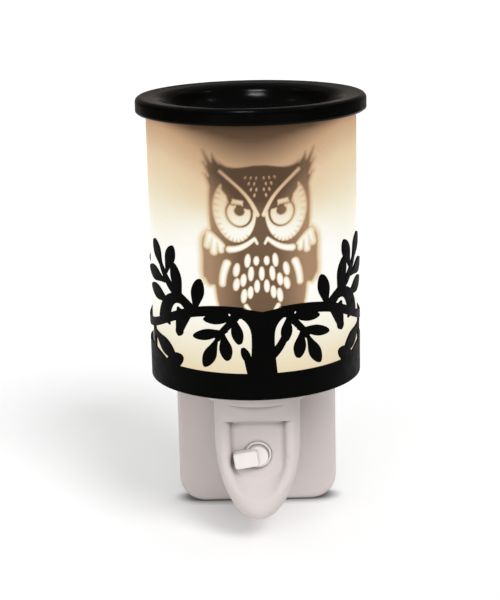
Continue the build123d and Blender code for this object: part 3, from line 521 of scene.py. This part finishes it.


# Floor: white paper that runs out of sight under and behind the warmer.
# It shines a little to the eye where the sky over it is open, and keeps the warmer's shadow.
# Close round the warmer the shine is withheld and the colour darkened, which paints a soft shadow there.
floor_half = 8.0
floor_level = cad_box[0][2]
floor_mesh = bpy.data.meshes.new("paper_floor")
floor_mesh.from_pydata(
    [(sx * floor_half, sy * floor_half, floor_level) for sx, sy in ((-1, -1), (1, -1), (1, 1), (-1, 1))],
    [], [(0, 1, 2, 3)],
)
paper_floor = bpy.data.objects.new("paper_floor", floor_mesh)
bpy.context.scene.collection.objects.link(paper_floor)
paper = surface_finish(
    "paper",
    {"Colour": (0.98, 0.98, 0.98, 1), "Tint": (0.97, 0.97, 0.97, 1),
     "Patch": 900 * mm, "Grain": 2 * mm, "Smoothest": 0.80, "Roughest": 0.90},
    bump=0.0,
    soft_edge=0,
    shader={"Specular IOR Level": 0.0},
    painted_shade=(9 * mm, 0.4, 0.85, 0.25),
)
lift_reach, lift_closed, lift_clear, lift_most = 30 * mm, 0.2, 0.9, 0.12
paper_tree = paper.node_tree
ray = place(paper_tree, "LightPath", {}).outputs
seen = place(paper_tree, "Math", {0: ray["Is Camera Ray"], 1: ray["Is Glossy Ray"]}, operation="MAXIMUM")
seen = place(paper_tree, "Math", {0: seen.outputs[0], 1: ray["Is Transmission Ray"]}, operation="MAXIMUM")
# Painted shadow: the lift is withheld where the warmer closes the sky within lift_reach.
open_sky = place(paper_tree, "AmbientOcclusion", {"Distance": lift_reach}, samples=sky_samples)
bright = place(
    paper_tree, "MapRange",
    {0: open_sky.outputs["AO"], 1: lift_closed, 2: lift_clear, 3: 0.0, 4: lift_most},
)
lift = place(paper_tree, "Math", {0: seen.outputs[0], 1: bright.outputs[0]}, operation="MULTIPLY")
paper_shader = paper_tree.nodes["Principled BSDF"]
paper_shader.inputs["Emission Color"].default_value = (1, 1, 1, 1)
paper_tree.links.new(lift.outputs[0], paper_shader.inputs["Emission Strength"])
floor_mesh.materials.append(paper)


# Sky and the two broad lamps: an even white sky, half as strong in the lighting as it looks to the camera,
# a key lamp from the upper right in front and a wide low fill lamp from the left in front.
sky_light, sky_shown = 0.5, 1.0
world = bpy.data.worlds.new("studio")
bpy.context.scene.world = world
world.use_nodes = True
sky = world.node_tree
ray = place(sky, "LightPath", {}).outputs
sky_strength = place(sky, "MapRange", {0: ray["Is Camera Ray"], 1: 0.0, 2: 1.0, 3: sky_light, 4: sky_shown})
sky.nodes["Background"].inputs["Color"].default_value = (1, 1, 1, 1)
sky.links.new(sky_strength.outputs[0], sky.nodes["Background"].inputs["Strength"])


def studio_lamp(name, strength, spread, tilt, swing):
    """Soft directional lamp with angles in degrees: spread is its width, tilt is measured from straight down,
    and swing is how far it stands to the right of the front. Reflections don't show it."""
    lamp = bpy.data.lights.new(name, "SUN")
    lamp.energy = strength
    lamp.angle = np.radians(spread)
    holder = bpy.data.objects.new(name, lamp)
    holder.rotation_euler = (np.radians(tilt), 0, np.radians(swing))
    holder.visible_glossy = False
    bpy.context.scene.collection.objects.link(holder)


studio_lamp("key_lamp", strength=1.5, spread=22, tilt=47, swing=27)
studio_lamp("fill_lamp", strength=1.3, spread=60, tilt=70, swing=-14)


# Flag: four upright sides of dark grey felt round the set, seen only in reflections.
# It gives the black dish something dark to mirror, with the white sky above it.
flag_half, flag_front, flag_back, flag_top = 0.8, -1.2, 0.9, 1.0
flag_plan = [
    (-flag_half, flag_front), (-flag_half, flag_back), (flag_half, flag_back), (flag_half, flag_front),
]
flag_mesh = bpy.data.meshes.new("black_flag")
flag_mesh.from_pydata(
    [(x, y, floor_level + z) for z in (0.0, flag_top) for x, y in flag_plan],
    [], [(0, 1, 5, 4), (1, 2, 6, 5), (2, 3, 7, 6), (3, 0, 4, 7)],
)
black_flag = bpy.data.objects.new("black_flag", flag_mesh)
black_flag.visible_camera = black_flag.visible_diffuse = black_flag.visible_shadow = False
black_flag.visible_transmission = False
bpy.context.scene.collection.objects.link(black_flag)
felt = surface_finish(
    "felt",
    {"Colour": (0.19, 0.17, 0.15, 1), "Tint": (0.17, 0.155, 0.14, 1),
     "Patch": 300 * mm, "Grain": 2 * mm, "Smoothest": 0.90, "Roughest": 1.00},
    bump=0.0,
    soft_edge=0,
    shader={"Specular IOR Level": 0.0},
)
flag_mesh.materials.append(felt)


# Small lamps for the dish's highlights: a wide one in front, which the bowl's far wall mirrors,
# and a weak one at each side for the spots on the bowl's rim. They show in reflections only.
def glint_lamp(name, towards, wide, deep, power):
    """Small lamp that only shows as a highlight: it stands a metre from the tube's top, in the direction
    that towards gives, and faces it. Wide and deep are its sides in metres, power is in watts."""
    lamp = bpy.data.lights.new(name, "AREA")
    lamp.shape = "RECTANGLE"
    lamp.energy = power
    lamp.size, lamp.size_y = wide, deep
    holder = bpy.data.objects.new(name, lamp)
    aim = np.array(towards) / np.linalg.norm(towards)
    holder.location = np.array([axis_x, axis_y, tube_high[2]]) + aim
    holder.rotation_euler = (np.arccos(aim[2]), 0, np.arctan2(aim[0], -aim[1]))
    holder.visible_diffuse = False
    bpy.context.scene.collection.objects.link(holder)


glint_lamp("front_glint", (-0.100, -0.480, 0.852), wide=0.24, deep=0.08, power=7.0)
glint_lamp("right_glint", (0.569, -0.028, 0.807), wide=0.08, deep=0.08, power=0.25)
glint_lamp("left_glint", (-0.558, 0.071, 0.814), wide=0.08, deep=0.08, power=0.1)


# Camera: a short telephoto in front of the warmer and slightly above the dish, looking down at the shade.
# Colours are shown as they are.
camera_data = bpy.data.cameras.new("camera")
camera_data.sensor_width = camera_data.sensor_height = 36
camera_data.lens = 92.8
camera_data.clip_end = 50
camera = bpy.data.objects.new("camera", camera_data)
camera_pitch, camera_roll = np.radians(14.97), np.radians(-1.24)
camera.rotation_mode = "ZYX"
camera.location = (-1.9 * mm, -652 * mm, 228 * mm)
camera.rotation_euler = (np.pi / 2 - camera_pitch, 0, camera_roll)
bpy.context.scene.collection.objects.link(camera)
bpy.context.scene.camera = camera

bpy.context.scene.view_settings.view_transform = "Standard"
